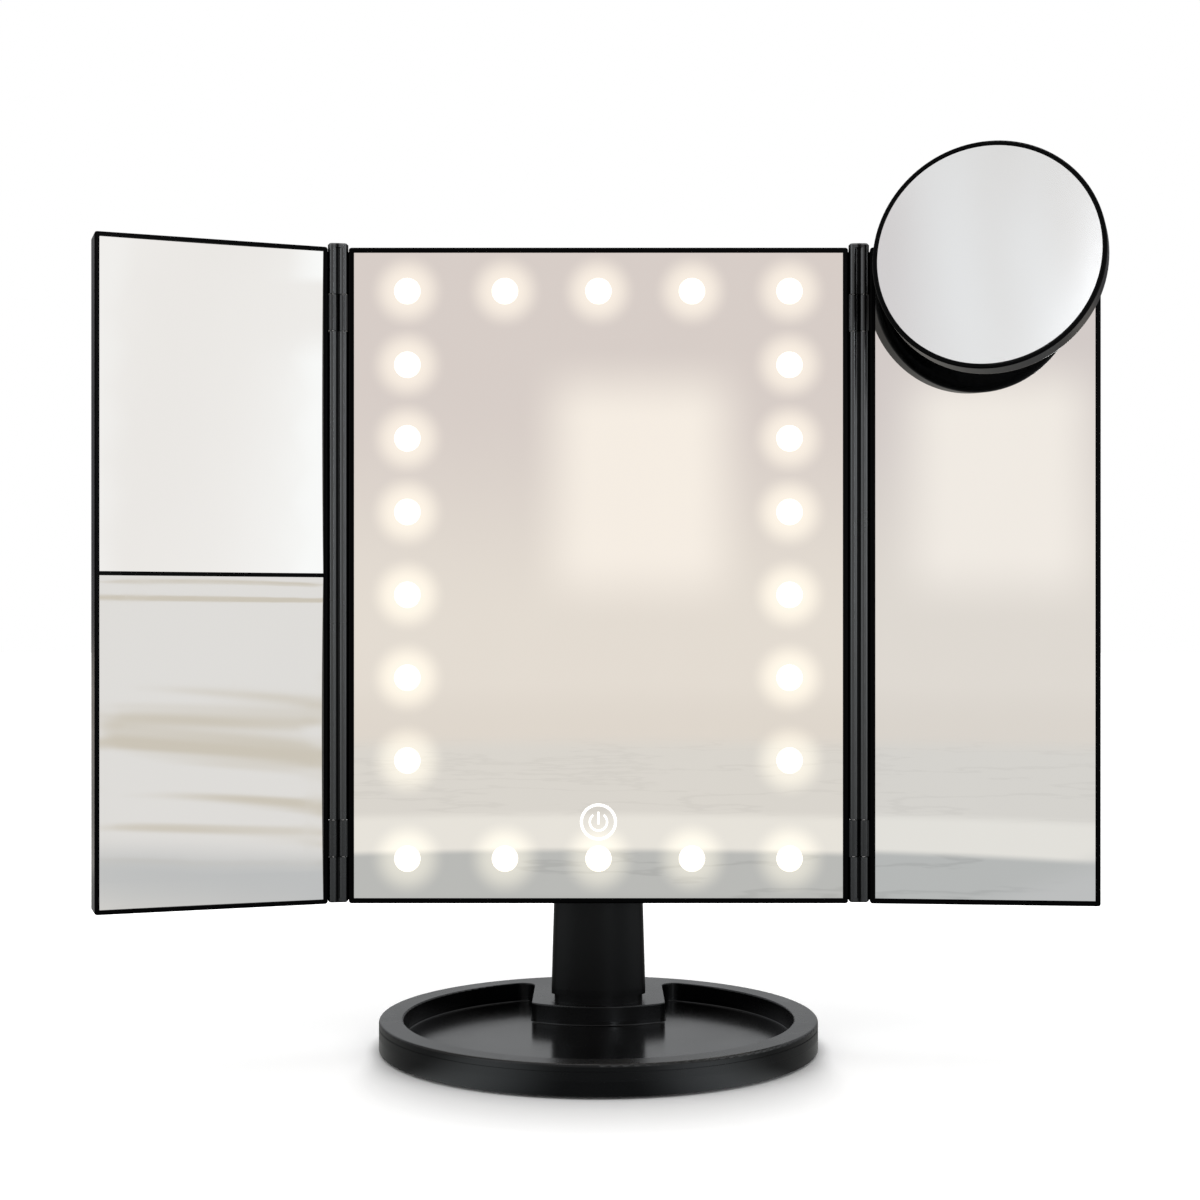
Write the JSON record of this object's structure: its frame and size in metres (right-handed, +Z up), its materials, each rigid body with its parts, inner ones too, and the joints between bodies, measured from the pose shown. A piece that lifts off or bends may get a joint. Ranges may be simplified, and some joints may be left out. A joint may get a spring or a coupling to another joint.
{
  "type": "lighted trifold vanity mirror",
  "caption": "Tabletop trifold vanity mirror with lamps behind the glass, two folding wings on double hinges, a tilting head on a column, a round tray base and a clip-on round magnifier.",
  "frame": {"origin": "centre of the round base's underside, on the table", "axes": "+Z up; -Y towards the user, out of the mirror's front; +X to the user's right"},
  "size_m": [0.3645, 0.16, 0.324],
  "materials": {
    "black_plastic": "satin moulded ABS with a fine even grain",
    "pad_rubber": "matt",
    "weight_steel": "zinc plated",
    "screw_steel": "black zinc",
    "pin_steel": "bright drawn",
    "lug_metal": "black powder coat",
    "washer_nylon": "natural nylon",
    "battery_can": "plain printed sleeve, gloss",
    "plated_contact": "nickel plated",
    "lead_insulation": "PVC insulation",
    "mirror_glass": "silvered float glass",
    "diffuser_acrylic": "opal acrylic",
    "circuit_board": "solder mask",
    "lamp": "warm white phosphor",
    "touch_foil": "copper foil",
    "foam_tape": "closed-cell foam",
    "cup_vinyl": "soft clear vinyl"
  },
  "bodies": {
    "base": {"base_tray": "black_plastic", "base_cover": "black_plastic", "base_weights": "weight_steel", "anti_slip_pad": "pad_rubber", "base_cover_screws": "screw_steel", "column_front_shell": "black_plastic", "column_rear_shell": "black_plastic", "column_screws": "screw_steel", "battery_tray": "black_plastic", "battery_cells": "battery_can", "battery_contacts": "plated_contact", "battery_lead": "lead_insulation", "tilt_lug": "lug_metal"},
    "battery_door": {"battery_door": "black_plastic"},
    "head": {"tilt_bracket": "black_plastic", "tilt_shaft": "pin_steel", "tilt_washers": "washer_nylon", "tilt_caps": "black_plastic", "bracket_screws": "screw_steel", "centre_frame": "black_plastic", "centre_mirror": "mirror_glass", "light_diffuser": "diffuser_acrylic", "touch_pad": "touch_foil", "led_boards": "circuit_board", "leds": "lamp", "control_board": "circuit_board", "lamp_leads": "lead_insulation", "socket_board": "circuit_board", "usb_socket": "plated_contact", "power_switch_body": "plated_contact", "centre_back_cover": "black_plastic", "centre_cover_screws": "screw_steel"},
    "power_switch": {"power_switch_knob": "black_plastic"},
    "left_link": {"left_hinge_strip": "black_plastic", "left_hinge_caps": "black_plastic", "left_hinge_pins": "pin_steel"},
    "left_wing": {"left_wing_frame": "black_plastic", "left_upper_mirror": "mirror_glass", "left_lower_mirror": "mirror_glass", "left_mirror_foam": "foam_tape", "left_back_cover": "black_plastic", "left_cover_screws": "screw_steel"},
    "right_link": {"right_hinge_strip": "black_plastic", "right_hinge_caps": "black_plastic", "right_hinge_pins": "pin_steel"},
    "right_wing": {"right_wing_frame": "black_plastic", "right_mirror": "mirror_glass", "right_mirror_foam": "foam_tape", "right_back_cover": "black_plastic", "right_cover_screws": "screw_steel"},
    "magnifier_mount": {"suction_cup": "cup_vinyl", "cup_stem": "black_plastic"},
    "magnifier_swivel": {"socket_liner": "washer_nylon"},
    "magnifier_collar": {"socket_collar": "black_plastic"},
    "magnifier": {"round_mirror_shell": "black_plastic", "round_mirror_bezel": "black_plastic", "round_mirror_glass": "mirror_glass", "round_mirror_spacer": "washer_nylon"}
  },
  "joints": [
    {"name": "head_tilt", "type": "hinge", "parent": "base", "child": "head", "pos_m": [0, 0.029, 0.137], "axis": [-1, 0, 0], "range_deg": [-3, 85]},
    {"name": "left_link_fold", "type": "hinge", "parent": "head", "child": "left_link", "pos_m": [-0.09375, 0.0016, 0.1727], "axis": [0, 0, 1], "range_deg": [-10, 80]},
    {"name": "left_wing_fold", "type": "hinge", "parent": "left_link", "child": "left_wing", "pos_m": [-0.09749, 0.00094, 0.1727], "axis": [0, 0, 1], "range_deg": [-10, 80]},
    {"name": "right_link_fold", "type": "hinge", "parent": "head", "child": "right_link", "pos_m": [0.09375, 0.0016, 0.1727], "axis": [0, 0, -1], "range_deg": [-2.65, 42.35]},
    {"name": "right_wing_fold", "type": "hinge", "parent": "right_link", "child": "right_wing", "pos_m": [0.09755, 0.00142, 0.1727], "axis": [0, 0, -1], "range_deg": [-2.65, 42.35]},
    {"name": "magnifier_lift_off", "type": "slide", "parent": "right_wing", "child": "magnifier_mount", "axis": [-0.0924, -0.9957, 0], "range_m": [0, 0.04]},
    {"name": "magnifier_swing", "type": "hinge", "parent": "magnifier_mount", "child": "magnifier_swivel", "pos_m": [0.14178, -0.01704, 0.279], "axis": [0, 0, -1], "range_deg": [-33.6, 6.4]},
    {"name": "magnifier_nod", "type": "hinge", "parent": "magnifier_swivel", "child": "magnifier_collar", "pos_m": [0.14178, -0.01704, 0.279], "axis": [-0.9461, 0.3239, 0], "range_deg": [-20.1, 9.9]},
    {"name": "magnifier_roll", "type": "hinge", "parent": "magnifier_collar", "child": "magnifier", "pos_m": [0.14178, -0.01704, 0.279], "axis": [-0.3226, -0.9423, 0.0889], "continuous": true},
    {"name": "power_switch_slide", "type": "slide", "parent": "head", "child": "power_switch", "axis": [-1, 0, 0], "range_m": [0, 0.0026]},
    {"name": "battery_door_pull", "type": "slide", "parent": "base", "child": "battery_door", "axis": [0, 1, 0], "range_m": [0, 0.03]}
  ]
}
